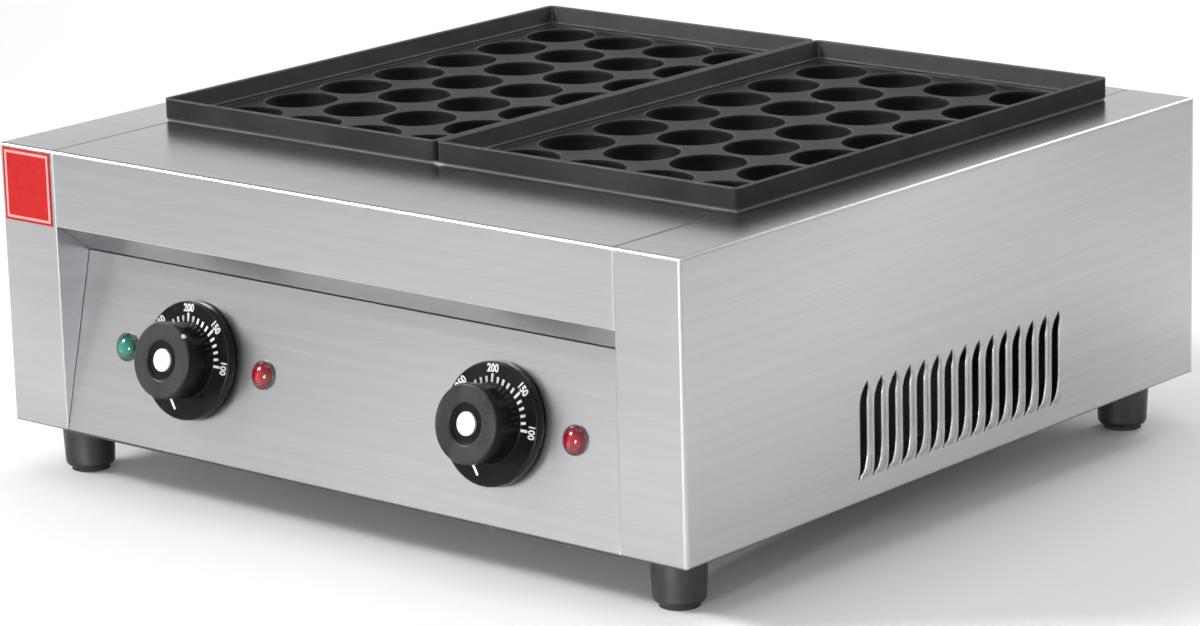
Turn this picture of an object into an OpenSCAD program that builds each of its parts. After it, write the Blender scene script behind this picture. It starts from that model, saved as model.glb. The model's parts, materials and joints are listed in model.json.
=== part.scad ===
// Countertop takoyaki maker: a folded stainless casing on four feet, with two lift-off
// cast plates of round cups, an inclined control panel with two thermostat knobs and
// three indicator lamps, and louvred side panels.
// The origin is the middle of the casing's footprint, on the surface that the feet
// stand on. +X is to the user's right, +Y to the rear, +Z up. Millimetres.

/* [Casing] */
// Width of the casing
body_w = 456; // [440:1:520]
// Depth of the casing
body_d = 430; // [415:1:500]
// Height of the casing without its feet
body_h = 150; // [145:1:180]
// Thickness of the stainless sheet
sheet_t = 1; // [0.8:0.1:1.2]
// Outer radius of the folded edges
bend_r = 2; // [1.6:0.1:3]
// Width of the side panels' flanges on the front, top and bottom
flange_w = 40; // [30:1:44]
// Width of the side panels' rear flanges
rear_flange_w = 20; // [14:1:30]
// Seam between neighbouring sheets
seam_gap = 0.3; // [0.2:0.05:0.6]

/* [Front] */
// Height of the upright fascia under the front shelf
fascia_h = 40; // [30:1:45]
// Depth that the top of the control panel lies behind the fascia
panel_recess = 22.3; // [15:0.1:28]
// Height from the fascia's lower edge down to the control panel's upper edge
lip_drop = 16.2; // [10:0.1:22]
// Depth of the returns at the casing's bottom
return_d = 15; // [12:1:20]
// Depth that the side webs reach behind the panel's upper edge
web_overlap = 10; // [6:1:20]
// Height of the knobs and lamps along the sloping panel
control_v = 50; // [46:0.5:54]
// Distance of each knob from the middle
knob_x = 103; // [90:1:120]
// Distance of each heating lamp from its knob, to the right
heat_lamp_dx = 49; // [44:0.5:60]
// Distance of the power lamp from the left knob, to the left
power_lamp_dx = 48.5; // [44:0.5:60]

/* [Cups] */
// Metal between the mouths of neighbouring cups
cup_gap = 2.8; // [2.4:0.1:6]
// Depth of a cup as a share of its diameter
cup_depth_share = 0.45; // [0.3:0.01:0.48]
// Distance from a plate's sides to the field of cups
field_side_margin = 10.8; // [9.8:0.1:16]
// Distance from a plate's front and rear to the field of cups
field_end_margin = 7.7; // [7.7:0.1:14]
// Columns of cups on each plate
cup_columns = 4; // [2:1:4]
// Rows of cups on each plate
cup_rows = 7; // [3:1:7]

/* [Plates] */
// Distance from the casing's rear to the plates
plate_rear = 29.4; // [24:0.1:36]
// Distance from the casing's side to the plate
plate_margin = 34.7; // [30:0.1:36]
// Distance from the casing's front to the plates
plate_front = 85.6; // [80:0.1:90]
// Gap between the two plates
plate_gap = 1; // [0.5:0.1:2]
// Height of a plate's outer wall
plate_wall_h = 10.6; // [9:0.1:14]
// Height of the rim above the cups' surface
rim_h = 9.8; // [8:0.1:12]
// Flat width of the rim
rim_top_w = 2.4; // [1.5:0.1:3]
// Width of the whole rim at its foot
rim_foot_w = 6.2; // [5:0.1:7]
// Height of the ledge inside the rim
ledge_h = 1.6; // [1:0.1:2.5]
// Width of the ledge inside the rim
ledge_w = 1.4; // [0.8:0.1:1.5]
// Radius of a plate's corners
plate_corner_r = 4; // [2:0.5:5]
// Thickness of a plate between its cups
plate_web = 5; // [4:0.5:6]
// Thickness of metal under a cup
cup_wall = 3.5; // [2.5:0.5:5]
// Radius of the flat under a cup
boss_foot_r = 14; // [12:0.5:16]

/* [Hob] */
// Height of the support frame above the casing
frame_rise = 1.2; // [1:0.1:3]
// Distance of the support frame's edge behind the plate's edge
frame_inset = 1.5; // [1:0.1:3]
// Overlap of the plates over the casing's top sheets
top_overlap = 5.3; // [4.5:0.1:5.6]
// Clearance of a plate's web in the support frame
plate_clearance = 0.7; // [0.4:0.1:1]
// Depth of the heating well under the casing's top
well_depth = 40; // [38:1:50]
// Diameter of the tubular heating element
element_d = 8; // [6:0.5:8.5]
// Air between a plate's bosses and the heating element
element_air = 2; // [1:0.5:3]
// Width of the bars that carry the elements
support_w = 14; // [10:1:20]
// Length of the elements' cold ends in front of the well
cold_end = 22; // [18:1:28]
// Length of the elements' threaded terminals
terminal_l = 8; // [6:0.5:10]
// Diameter of the elements' threaded terminals
terminal_d = 4; // [3:0.5:5]
// Thickness of the small nuts
nut_t = 3; // [2:0.5:4]
// Length of the ceramic bushes
bush_t = 5; // [3:0.5:8]
// Height of the reflector tray's walls
tray_wall_h = 7; // [4:0.5:7]

/* [Knobs] */
// Diameter of the knob's skirt
skirt_d = 61; // [50:1:64]
// Clearance between the skirt and the panel
skirt_clearance = 1.6; // [1:0.1:3]
// Height of the skirt's face above its underside
skirt_t = 5; // [4:0.5:6]
// Diameter of the grip at the skirt
grip_foot_d = 39; // [36:0.2:44]
// Diameter of the grip at its face
grip_d = 39.4; // [34:0.2:40]
// Height of the grip's face above the skirt's underside
knob_h = 23; // [20:0.5:28]
// Radius of the grip's face edge
grip_edge_r = 1.6; // [1:0.1:2.5]
// Diameter of the dish in the grip's face
dish_d = 23; // [20:0.5:26]
// Depth of the dish
dish_depth = 2; // [1:0.1:3]
// Diameter of the pale disc in the dish
inlay_d = 11.6; // [9:0.1:14]
// Thickness of the pale disc
inlay_t = 1.2; // [0.8:0.1:2]
// Diameter of the thermostat's spindle
spindle_d = 6; // [5:0.5:8]
// Radial clearance of the running and push-on fits on the spindle
spindle_clearance = 0.05; // [0.02:0.01:0.1]
// Length of the spindle inside the thermostat
spindle_seat = 8; // [5:0.5:15]
// Diameter of the thermostat's collar
collar_d = 12; // [9:0.5:14]
// Height of the collar in front of the panel
collar_stand = 0.6; // [0:0.1:1]
// Height of the hollow under the skirt
skirt_hollow = 2.6; // [2.4:0.1:2.8]
// Width of the solid rim around the hollow
skirt_rim_w = 3.4; // [2.5:0.1:5]
// Radius of the skirt's edge
skirt_edge_r = 0.6; // [0.4:0.1:0.8]
// Radius of the hub around the spindle
hub_r = 8; // [6:0.5:9]

/* [Dial] */
// Angle of the first graduation, counted anticlockwise from three o'clock
dial_start = 0; // [-10:1:10]
// Angle between neighbouring graduations
dial_step = 9.4; // [8:0.1:10]
// Number of graduations
dial_count = 21; // [11:1:23]
// Graduations from one numbered mark to the next
dial_major = 5; // [4:1:6]
// Length of a short graduation
tick_len = 3; // [2:0.1:3.5]
// Length of a numbered graduation
major_len = 4.2; // [3:0.1:5]
// Width of a graduation
tick_w = 1.3; // [0.6:0.1:1.4]
// Angle of the off line on the skirt
off_angle = -103; // [-120:1:-90]
// Length of the off line
off_len = 6.8; // [5:0.1:7]
// Angle of the off line to the radius it stands on
off_lean = 52; // [0:1:60]
// Distance of the marks from the grip
dial_gap = 0.6; // [0.3:0.1:1]
// Thickness of the printed marks
print_t = 0.2; // [0.1:0.05:0.3]

/* [Lamps] */
// Diameter of a lamp's lens
lens_d = 13.6; // [12:0.2:18]
// Height of a lens above its bezel
lens_h = 3.6; // [2.5:0.1:5]
// Width of the bezel around a lens
bezel_w = 0.7; // [0.5:0.1:2]
// Thickness of the bezel
bezel_t = 1; // [0.6:0.1:2]
// Thickness of the ring behind the panel
clip_t = 2; // [1:0.5:3]
// Diameter of a lamp's body behind the panel
lamp_body_d = 12; // [10:0.5:12.5]
// Length of a lamp's body behind the panel
lamp_body_l = 26; // [18:1:32]

/* [Louvres] */
// Number of louvres on each side
louvre_count = 15; // [5:1:16]
// Distance between neighbouring louvres
louvre_pitch = 11.65; // [11.3:0.05:12.5]
// Height of a louvre
louvre_h = 48.5; // [40:0.5:60]
// Width of a louvre's slot in front of its hood
louvre_w = 3.9; // [3.4:0.1:4.2]
// Height of the lowest end of the louvres above the casing's bottom
louvre_z = 12; // [8:1:30]
// Distance of the first louvre from the casing's front
louvre_front = 134.5; // [120:0.5:150]
// Height that a louvre's hood stands out of the side
hood_h = 1.8; // [1.2:0.1:2.2]
// Distance over which a hood falls back to the sheet
hood_w = 5.2; // [4.4:0.1:5.4]
// Thickness of the pressed hood
hood_t = 0.8; // [0.6:0.1:1]
// Height over which a slot's top leans back
slot_top_h = 11; // [8:1:14]
// Distance that a slot's top leans back behind its rear edge
slot_top_lean = 3.5; // [2:0.1:3.8]
// Height over which a slot's foot leans forward
slot_foot_h = 16; // [12:1:18]
// Distance that a slot's foot leans forward of its front edge
slot_foot_lean = 1.8; // [1:0.1:2.2]
// Width of a slot's two ends
slot_tip = 1.4; // [0.8:0.1:1.6]

/* [Feet] */
// Height of a foot
foot_h = 28; // [20:1:40]
// Diameter of a foot at its top
foot_top_d = 28; // [24:1:34]
// Diameter of a foot at its bottom
foot_d = 26; // [20:1:30]
// Distance of a foot's centre from the casing's side
foot_inset = 27; // [20:1:29]
// Diameter of the flange on top of a foot
foot_flange_d = 32; // [28:1:38]
// Thickness of the flange on top of a foot
foot_flange_t = 1.6; // [1:0.1:3]
// Height of the rubber pad under a foot
pad_h = 2; // [1.5:0.5:6]
// Radius of a foot's lower edge
foot_edge_r = 3; // [1:0.5:4]
// Depth of a foot's threaded hole
foot_thread_l = 15; // [10:1:18]
// Diameter of a foot's bolt
foot_bolt_d = 6; // [5:0.5:8]

/* [Cable entry] */
// Bore of the cable gland
gland_bore_d = 9; // [7:0.5:12]
// Diameter of the gland's thread
gland_thread_d = 16; // [15:0.5:20]
// Width across the flats of the gland's hexagons
gland_flats = 22; // [21:0.5:26]
// Length of the gland behind the casing
gland_l = 16.6; // [10:0.1:22]
// Thickness of the gland's hexagon
gland_hex_t = 5; // [4:0.5:7]
// Thickness of the gland's nut
gland_nut_t = 5; // [4:0.5:7]
// Length of the gland inside the casing
gland_tail = 9; // [8:0.5:12]
// Distance of the gland from the casing's right side
gland_inset = 78; // [60:1:120]
// Height of the gland above the casing's bottom
gland_z = 32; // [26:1:45]

/* [Fasteners] */
// Diameter of the sheet-metal screws
screw_d = 4; // [3:0.5:4.5]
// Length of the sheet-metal screws
screw_l = 9; // [7:0.5:12]
// Diameter of a screw's head
screw_head_d = 7.6; // [6:0.2:9]
// Distance of the rear panel's screws from its lower and upper edge
rear_screw_inset = 22; // [15:1:50]
// Height of a screw's head
screw_head_h = 2.4; // [1.8:0.1:3]
// Radial clearance of a screw or a bolt in its hole
hole_clearance = 0.2; // [0.1:0.05:0.4]
// Air under a screw's head, and between flat faces that are clamped
seat_air = 0.1; // [0.05:0.05:0.2]

/* [Inside] */
// Side of a thermostat's square body
thermostat_w = 36; // [32:1:40]
// Depth of a thermostat's body
thermostat_l = 26; // [20:1:32]
// Distance between a thermostat's two screws
thermostat_screw_pitch = 28; // [24:1:30]
// Diameter of a temperature bulb
bulb_d = 6; // [4:0.5:7]
// Length of a temperature bulb
bulb_l = 90; // [60:5:110]
// Diameter of the capillary tube
capillary_d = 1.8; // [1.5:0.1:2.5]
// Diameter of an insulated lead
lead_d = 3; // [2:0.1:3.5]
// Distance between neighbouring leads
lead_lane = 11; // [8:0.5:12]
// Width of the leads' opening in the heat shield
lead_gate = 60; // [52:1:80]
// Width of the terminal block
block_w = 60; // [50:1:80]
// Depth of the terminal block
block_d = 22; // [18:1:30]
// Height of the terminal block
block_h = 18; // [14:1:24]
// Distance of the terminal block's middle from the rear
block_rear = 50; // [40:1:70]
// Distance of the terminal block from the gland's axis
block_gap = 10; // [8:1:30]
// Distance of the earth stud from the terminal block
earth_gap = 15; // [10:1:30]
// Depth behind the thermostats for the leads that run across
lane_depth = 15; // [12:0.5:16]
// Ways of the terminal block
block_ways = 5; // [5:1:6]
// Width of the earth nut
nut_w = 9; // [7:0.5:12]
// Distance of the heat shield behind the casing's front
shield_front = 104; // [96:1:112]

/* [Tag] */
// Width of the red tag on the left flange
tag_w = 35; // [28:1:37]
// Height of the red tag
tag_h = 38.5; // [30:0.5:40]
// Thickness of the tag
tag_t = 0.3; // [0.2:0.05:0.5]

/* [Hidden] */
$fn = 64;
SIDES = [-1, 1];
ENDS = [-1, 1];
CUT = 1;
// Straight pieces in each leaning end of a louvre's slot, and the two orders to take them in
LEAN_STEPS = 5;
UPWARD = [0:LEAN_STEPS];
DOWNWARD = [LEAN_STEPS:-1:0];

half_w = body_w / 2;
half_d = body_d / 2;
bottom_z = foot_h;
top_z = foot_h + body_h;
inner_w = body_w - 2 * flange_w;
sheet_half = inner_w / 2 - seam_gap;
side_rear_y = half_d - bend_r - seam_gap;

fascia_z = top_z - fascia_h;
panel_top_z = fascia_z - lip_drop;
panel_rise = panel_top_z - bottom_z;
panel_tilt = atan2(panel_recess, panel_rise);
panel_l = norm([panel_recess, panel_rise]);
web_d = panel_recess + web_overlap;

plate_w = (body_w - 2 * plate_margin - plate_gap) / 2;
plate_d = body_d - plate_front - plate_rear;
plate_cx = (plate_w + plate_gap) / 2;
plate_y0 = plate_front - half_d;
plate_cy = plate_y0 + plate_d / 2;
plate_z = top_z + frame_rise + seat_air;
rim_z = plate_z + plate_wall_h;
cup_z = rim_z - rim_h;
pitch_x = (plate_w - 2 * field_side_margin) / cup_columns;
pitch_y = (plate_d - 2 * field_end_margin) / cup_rows;
cup_d = min(pitch_x, pitch_y) - cup_gap;
cup_depth = cup_depth_share * cup_d;
cup_r = (pow(cup_d / 2, 2) + pow(cup_depth, 2)) / (2 * cup_depth);
boss_z = cup_z - cup_depth - cup_wall;
boss_r = (cup_d + cup_gap) / 2 - 2 * seat_air;
web_z = cup_z - plate_web;

frame_wall_inset = top_overlap + seam_gap;
frame_open_inset = frame_wall_inset + sheet_t;
web_inset = frame_open_inset + plate_clearance;
frame_w = 2 * plate_w + plate_gap - 2 * frame_inset;
frame_d = plate_d - 2 * frame_inset;
well_z = top_z - well_depth;
open_w = plate_w - 2 * frame_open_inset;
open_d = plate_d - 2 * frame_open_inset;
shelf_rear_y = plate_y0 + top_overlap;
strip_front_y = plate_y0 + plate_d - top_overlap;

element_r = element_d / 2;
element_z = boss_z - element_air - element_r;
leg_pitch = (plate_w - 2 * field_side_margin) / 4;
element_reach = open_d / 2 - leg_pitch / 2 - 2 * element_d;
well_front_y = plate_y0 + frame_wall_inset;
element_front = well_front_y - cold_end;
terminal_front_y = element_front - terminal_l;
bush_d = element_d + 6;
tray_z = well_z - seat_air - sheet_t;
capillary_z = element_z - element_r - capillary_d;
support_top_z = element_z - element_r - seat_air;
support_y = open_d / 4;

knob_base = skirt_clearance;
skirt_face = knob_base + skirt_t;
knob_face = knob_base + knob_h;
spindle_end = knob_base + knob_h - dish_depth - 4;
bore_r = spindle_d / 2 + spindle_clearance;
spindle_start = -sheet_t - spindle_seat;
thermostat_back = -sheet_t - seat_air - thermostat_l;
lamp_x = [
    -knob_x - power_lamp_dx,
    -knob_x + heat_lamp_dx,
    knob_x + heat_lamp_dx
];
lamp_hole_r = lamp_body_d / 2 + hole_clearance;
hood_r = (hood_w * hood_w + hood_h * hood_h) / (2 * hood_h);

base_z = bottom_z + sheet_t + seat_air;
base_top_z = base_z + sheet_t;
foot_x = half_w - foot_inset;
foot_y = half_d - foot_inset;
screw_hole_r = screw_d / 2 + hole_clearance;
foot_hole_r = foot_bolt_d / 2 + hole_clearance;
rear_screw_z = [bottom_z + rear_screw_inset, top_z - rear_screw_inset];
gland_x = half_w - gland_inset;
block_x = gland_x - block_w - block_gap;
block_y = half_d - block_rear;
block_front_y = block_y - block_d / 2;
shield_y = shield_front - half_d;
lead_z = base_top_z + lead_d / 2 + seat_air;
thermostat_rear_y = panel_point(0, control_v, thermostat_back).y;
front_lane_y = thermostat_rear_y + lane_depth;
return_lane_y = front_lane_y + 2 * lead_d;
capillary_lane_y = front_lane_y + 3 * lead_d;
lead_seat = lead_d / 2 * tan(panel_tilt) + seat_air;
earth_x = block_x + block_w / 2 + earth_gap;
earth_lead_z = base_top_z + nut_t / 2 + seat_air;

STEEL = [0.78, 0.78, 0.80];
IRON = [0.13, 0.13, 0.14];
BLACK = [0.08, 0.08, 0.08];
WHITE = [0.92, 0.92, 0.90];
RED = [0.78, 0.08, 0.10];
GREEN = [0.05, 0.50, 0.42];
BRASS = [0.75, 0.60, 0.30];
CERAMIC = [0.90, 0.88, 0.82];
DARK_METAL = [0.35, 0.35, 0.37];

// ---------------------------------------------------------------- shared shapes

// A rectangle about the origin with round corners
module round_rect(w, d, r) {
    square([w - 2 * r, d], center = true);
    square([w, d - 2 * r], center = true);
    for (x = SIDES, y = ENDS)
        translate([x * (w / 2 - r), y * (d / 2 - r)])
            circle(r);
}

// A box between two corners
module span(low, high) {
    translate(low)
        cube(high - low);
}

// The casing's outer form, drawn in by an inset, with every edge round
module casing_block(inset, r) {
    w = body_w - 2 * inset;
    d = body_d - 2 * inset;
    h = body_h - 2 * inset;
    translate([0, 0, bottom_z + body_h / 2])
        intersection() {
            translate([0, 0, -h / 2])
                linear_extrude(h)
                    round_rect(w, d, r);
            rotate([90, 0, 0])
                translate([0, 0, -d / 2])
                    linear_extrude(d)
                        round_rect(w, h, r);
            rotate([90, 0, 90])
                translate([0, 0, -w / 2])
                    linear_extrude(w)
                        round_rect(d, h, r);
        }
}

// The whole casing as one folded skin, which the sheets share out
module casing_skin() {
    difference() {
        casing_block(0, bend_r);
        casing_block(sheet_t, bend_r - sheet_t);
    }
}

// Places a child on the sloping panel: x across, y up the slope, z out of it
module on_panel(u, v) {
    translate([0, -half_d, bottom_z])
        rotate([90 - panel_tilt, 0, 0])
            translate([u, v, 0])
                children();
}

// A round bar from one point to another
module bar(from, to, r) {
    run = to - from;
    tilt = acos(run.z / norm(run));
    turn = atan2(run.y, run.x);
    translate(from)
        rotate([0, tilt, turn])
            cylinder(r = r, h = norm(run));
}

// A bent wire or tube through a list of points, with round elbows
module wire(points, r) {
    for (i = [0:len(points) - 2])
        bar(points[i], points[i + 1], r);
    for (i = [1:len(points) - 2])
        translate(points[i])
            sphere(r);
}

// A pan-head screw pointing down -Z, seated on z = 0
module screw(d, l, head_d, head_h) {
    translate([0, 0, seat_air])
        cylinder(d = head_d, h = head_h);
    translate([0, 0, -l])
        cylinder(d = d, h = l + seat_air + CUT);
}

module sheet_screw() {
    screw(screw_d, screw_l, screw_head_d, screw_head_h);
}

// Screws through the rear panel into the side panels' rear flanges
module at_rear_screws() {
    for (side = SIDES, z = rear_screw_z)
        translate([side * (half_w - rear_flange_w / 2), half_d, z])
            rotate([-90, 0, 0])
                children();
}

// Screws up through the front and rear returns into the base plate
module at_base_screws() {
    for (x = [-knob_x, knob_x], end = ENDS)
        translate([x, end * (half_d - return_d / 2), bottom_z])
            rotate([180, 0, 0])
                children();
}

module at_feet() {
    for (x = SIDES, y = ENDS)
        translate([x * foot_x, y * foot_y, 0])
            children();
}

// ---------------------------------------------------------------- casing

// Points from [y, z] upright and then over by [dy, dz], upward or downward
function leaning(y, z, dy, dz, order) = [
    for (i = order)
        let (part = i / LEAN_STEPS)
            [y + dy * part * part, z + dz * part]
];

// Front edge of a louvre's slot, from its top that leans back to its foot that leans forward
function slot_front(shift = 0) = concat(
    leaning(
        shift, louvre_h - slot_top_h,
        louvre_w + slot_top_lean - slot_tip, slot_top_h, DOWNWARD
    ),
    leaning(shift, slot_foot_h / 2, -slot_foot_lean, -slot_foot_h / 2, UPWARD)
);

// Rear edge of a louvre's slot, from its foot to its top
function slot_rear() = concat(
    leaning(
        louvre_w, slot_foot_h,
        slot_tip - slot_foot_lean - louvre_w, -slot_foot_h, DOWNWARD
    ),
    leaning(louvre_w, louvre_h - slot_top_h, slot_top_lean, slot_top_h, UPWARD)
);

// A capsule along Z: what a louvre's punch leaves on each side of the sheet
module capsule(r, l) {
    translate([0, 0, r])
        cylinder(r = r, h = l - 2 * r);
    translate([0, 0, r])
        sphere(r);
    translate([0, 0, l - r])
        sphere(r);
}

// Children stand at each louvre's front edge, with x outward and y to the rear
module at_louvres() {
    for (i = [0:louvre_count - 1])
        translate([half_w, louvre_front - half_d + i * louvre_pitch, bottom_z + louvre_z])
            children();
}

// Stands an outline up in the plane of the side sheet and makes it so deep
module along_side(from_x, to_x) {
    rotate([90, 0, 90])
        translate([0, 0, from_x])
            linear_extrude(to_x - from_x)
                children();
}

// The bulge behind a louvre's slot, with its crest at the slot's rear edge
module hood(r, from_x) {
    behind = louvre_w + hood_w;
    intersection() {
        translate([hood_h - hood_r, louvre_w, hood_w - r])
            capsule(r, louvre_h - 2 * (hood_w - r));
        along_side(from_x, hood_h + CUT)
            polygon(concat(slot_front(slot_tip / 2), [[behind, 0], [behind, louvre_h]]));
    }
}

module louvre_slot() {
    along_side(-sheet_t - CUT, hood_h + CUT)
        polygon(concat(slot_front(), slot_rear()));
}

// Side wall, flanges on the front, top, bottom and rear, and the web beside the recess
module side_sheet() {
    inner = half_w - flange_w;
    intersection() {
        casing_skin();
        span([inner, -half_d, bottom_z], [half_w, side_rear_y, top_z]);
    }
    span(
        [half_w - rear_flange_w, side_rear_y - sheet_t, bottom_z + sheet_t / 2],
        [half_w - sheet_t / 2, side_rear_y, top_z - sheet_t / 2]
    );
    span(
        [inner, sheet_t / 2 - half_d, bottom_z + sheet_t / 2],
        [inner + sheet_t, web_d - half_d, top_z - sheet_t / 2]
    );
}

module side_panel() {
    difference() {
        union() {
            side_sheet();
            at_louvres()
                hood(hood_r, -sheet_t / 2);
        }
        at_louvres()
            hood(hood_r - hood_t, -sheet_t - CUT);
        at_louvres()
            louvre_slot();
        at_feet()
            translate([0, 0, bottom_z - CUT])
                cylinder(r = foot_hole_r, h = sheet_t + 2 * CUT);
        at_rear_screws()
            translate([0, 0, side_rear_y - half_d - sheet_t - CUT])
                cylinder(r = screw_hole_r, h = sheet_t + 2 * CUT);
    }
}

module right_side_panel() {
    color(STEEL)
        side_panel();
}

module left_side_panel() {
    color(STEEL)
        mirror([1, 0, 0])
            side_panel();
}

// Front shelf, upright fascia and the lip that slopes in to the panel
module front_fascia() {
    color(STEEL)
        rotate([90, 0, 90])
            translate([0, 0, -sheet_half])
                linear_extrude(2 * sheet_half)
                    fascia_section();
}

// Section across the fascia: x is depth and y is height
module fascia_section() {
    front = -half_d;
    lip_end = [front + panel_recess - seam_gap, panel_top_z + seam_gap];
    lip_tilt = atan2(lip_end.x - front, fascia_z - lip_end.y);
    difference() {
        union() {
            translate([front + bend_r, top_z - bend_r])
                circle(bend_r);
            translate([front + bend_r, fascia_z])
                square([shelf_rear_y - front - bend_r, top_z - fascia_z]);
            translate([front, fascia_z])
                square([bend_r + sheet_t, top_z - bend_r - fascia_z]);
        }
        translate([front + bend_r, top_z - bend_r])
            circle(bend_r - sheet_t);
        translate([front + bend_r, fascia_z - CUT])
            square([body_d, top_z - sheet_t - fascia_z + CUT]);
        translate([front + sheet_t, fascia_z - CUT])
            square([bend_r, top_z - bend_r - fascia_z + CUT]);
    }
    polygon([
        [front, fascia_z],
        lip_end,
        lip_end + sheet_t * [cos(lip_tilt), sin(lip_tilt)],
        [front + sheet_t, fascia_z + sheet_t * tan(lip_tilt / 2)]
    ]);
}

// The inclined panel with its return along the casing's bottom
module control_panel() {
    color(STEEL)
        difference() {
            rotate([90, 0, 90])
                translate([0, 0, -sheet_half])
                    linear_extrude(2 * sheet_half)
                        panel_section();
            at_knobs()
                panel_hole(collar_d / 2 + hole_clearance);
            at_knobs()
                for (side = SIDES)
                    translate([side * thermostat_screw_pitch / 2, 0, 0])
                        panel_hole(screw_hole_r);
            at_lamps()
                panel_hole(lamp_hole_r);
            at_base_screws()
                translate([0, 0, -sheet_t - CUT])
                    cylinder(r = screw_hole_r, h = sheet_t + 2 * CUT);
        }
}

// Section across the panel: x is depth and y is height
module panel_section() {
    foot = [-half_d, bottom_z];
    top = foot + (panel_l - seam_gap) * [sin(panel_tilt), cos(panel_tilt)];
    inner_corner = sheet_t * (1 + sin(panel_tilt)) / cos(panel_tilt);
    polygon([
        foot,
        top,
        top + sheet_t * [cos(panel_tilt), -sin(panel_tilt)],
        foot + [inner_corner, sheet_t],
        foot + [return_d, sheet_t],
        foot + [return_d, 0]
    ]);
}

module panel_hole(r) {
    translate([0, 0, -sheet_t - CUT])
        cylinder(r = r, h = sheet_t + 2 * CUT);
}

// Rear wall with the strip of the top behind the plates and a return below
module rear_panel() {
    color(STEEL)
        difference() {
            intersection() {
                casing_skin();
                union() {
                    span([-half_w, half_d - bend_r, bottom_z], [half_w, half_d, top_z]);
                    span(
                        [-sheet_half, strip_front_y, top_z - bend_r],
                        [sheet_half, half_d, top_z]
                    );
                    span(
                        [-sheet_half, half_d - return_d, bottom_z],
                        [sheet_half, half_d, bottom_z + bend_r]
                    );
                }
            }
            at_gland()
                translate([0, 0, -sheet_t - CUT])
                    cylinder(d = gland_thread_d + 2 * hole_clearance, h = sheet_t + 2 * CUT);
            at_rear_screws()
                translate([0, 0, -sheet_t - CUT])
                    cylinder(r = screw_hole_r, h = sheet_t + 2 * CUT);
            at_base_screws()
                translate([0, 0, -sheet_t - CUT])
                    cylinder(r = screw_hole_r, h = sheet_t + 2 * CUT);
        }
}

// Room in the base plate for the right side panel's web
module web_notch() {
    web_x = half_w - flange_w;
    span(
        [web_x - seam_gap, -half_d, base_z - CUT],
        [web_x + sheet_t + seam_gap, web_d + seam_gap - half_d, base_top_z + CUT]
    );
}

// The base plate lies on the returns and on the side panels' bottom flanges
module base_plate() {
    clear = 2 * sheet_t + seam_gap;
    color(STEEL)
        difference() {
            span(
                [clear - half_w, sheet_t + clear - half_d, base_z],
                [half_w - clear, side_rear_y - sheet_t - seam_gap, base_top_z]
            );
            web_notch();
            mirror([1, 0, 0])
                web_notch();
            at_feet()
                translate([0, 0, base_z - CUT])
                    cylinder(r = foot_hole_r, h = sheet_t + 2 * CUT);
            at_base_screws()
                translate([0, 0, -base_top_z])
                    cylinder(r = screw_hole_r, h = base_top_z);
            at_shield_screws()
                translate([0, 0, -2 * sheet_t - CUT])
                    cylinder(r = screw_hole_r, h = 2 * sheet_t + 2 * CUT);
        }
}

// ---------------------------------------------------------------- hob

// Children stand at each cup's centre on a plate about the origin
module at_cups() {
    for (i = [0:cup_columns - 1], j = [0:cup_rows - 1])
        translate([
            (i - (cup_columns - 1) / 2) * pitch_x,
            (j - (cup_rows - 1) / 2) * pitch_y,
            0
        ])
            children();
}

// Prism along Y whose section narrows downward to the rim's foot
module rim_wedge(w, l) {
    slope = (rim_foot_w - rim_top_w) / (rim_h - ledge_h);
    low = cup_z + ledge_h;
    high = rim_z + CUT;
    half = w / 2 - rim_foot_w;
    wide = half + slope * (high - low);
    rotate([90, 0, 0])
        translate([0, 0, -l / 2])
            linear_extrude(l)
                polygon([[-half, low], [half, low], [wide, high], [-wide, high]]);
}

// A cast plate about the origin: raised rim, sloped inside, with round-bottomed cups
module cup_plate() {
    color(IRON)
        difference() {
            union() {
                translate([0, 0, plate_z])
                    linear_extrude(plate_wall_h)
                        round_rect(plate_w, plate_d, plate_corner_r);
                translate([0, 0, web_z])
                    linear_extrude(plate_z - web_z + ledge_h)
                        round_rect(
                            plate_w - 2 * web_inset,
                            plate_d - 2 * web_inset,
                            plate_corner_r
                        );
                at_cups()
                    translate([0, 0, boss_z])
                        cylinder(r1 = boss_foot_r, r2 = boss_r, h = web_z - boss_z);
            }
            intersection() {
                rim_wedge(plate_w, plate_d);
                rotate([0, 0, 90])
                    rim_wedge(plate_d, plate_d);
            }
            translate([0, 0, cup_z])
                linear_extrude(ledge_h + CUT)
                    square(
                        [
                            plate_w - 2 * (rim_foot_w + ledge_w),
                            plate_d - 2 * (rim_foot_w + ledge_w)
                        ],
                        center = true
                    );
            at_cups()
                translate([0, 0, cup_z - cup_depth + cup_r])
                    sphere(cup_r);
        }
}

module left_plate() {
    translate([-plate_cx, plate_cy, 0])
        cup_plate();
}

module right_plate() {
    translate([plate_cx, plate_cy, 0])
        cup_plate();
}

// A box about the middle of the hob
module hob_box(w, d, low, high) {
    translate([-w / 2, plate_cy - d / 2, low])
        cube([w, d, high - low]);
}

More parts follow.
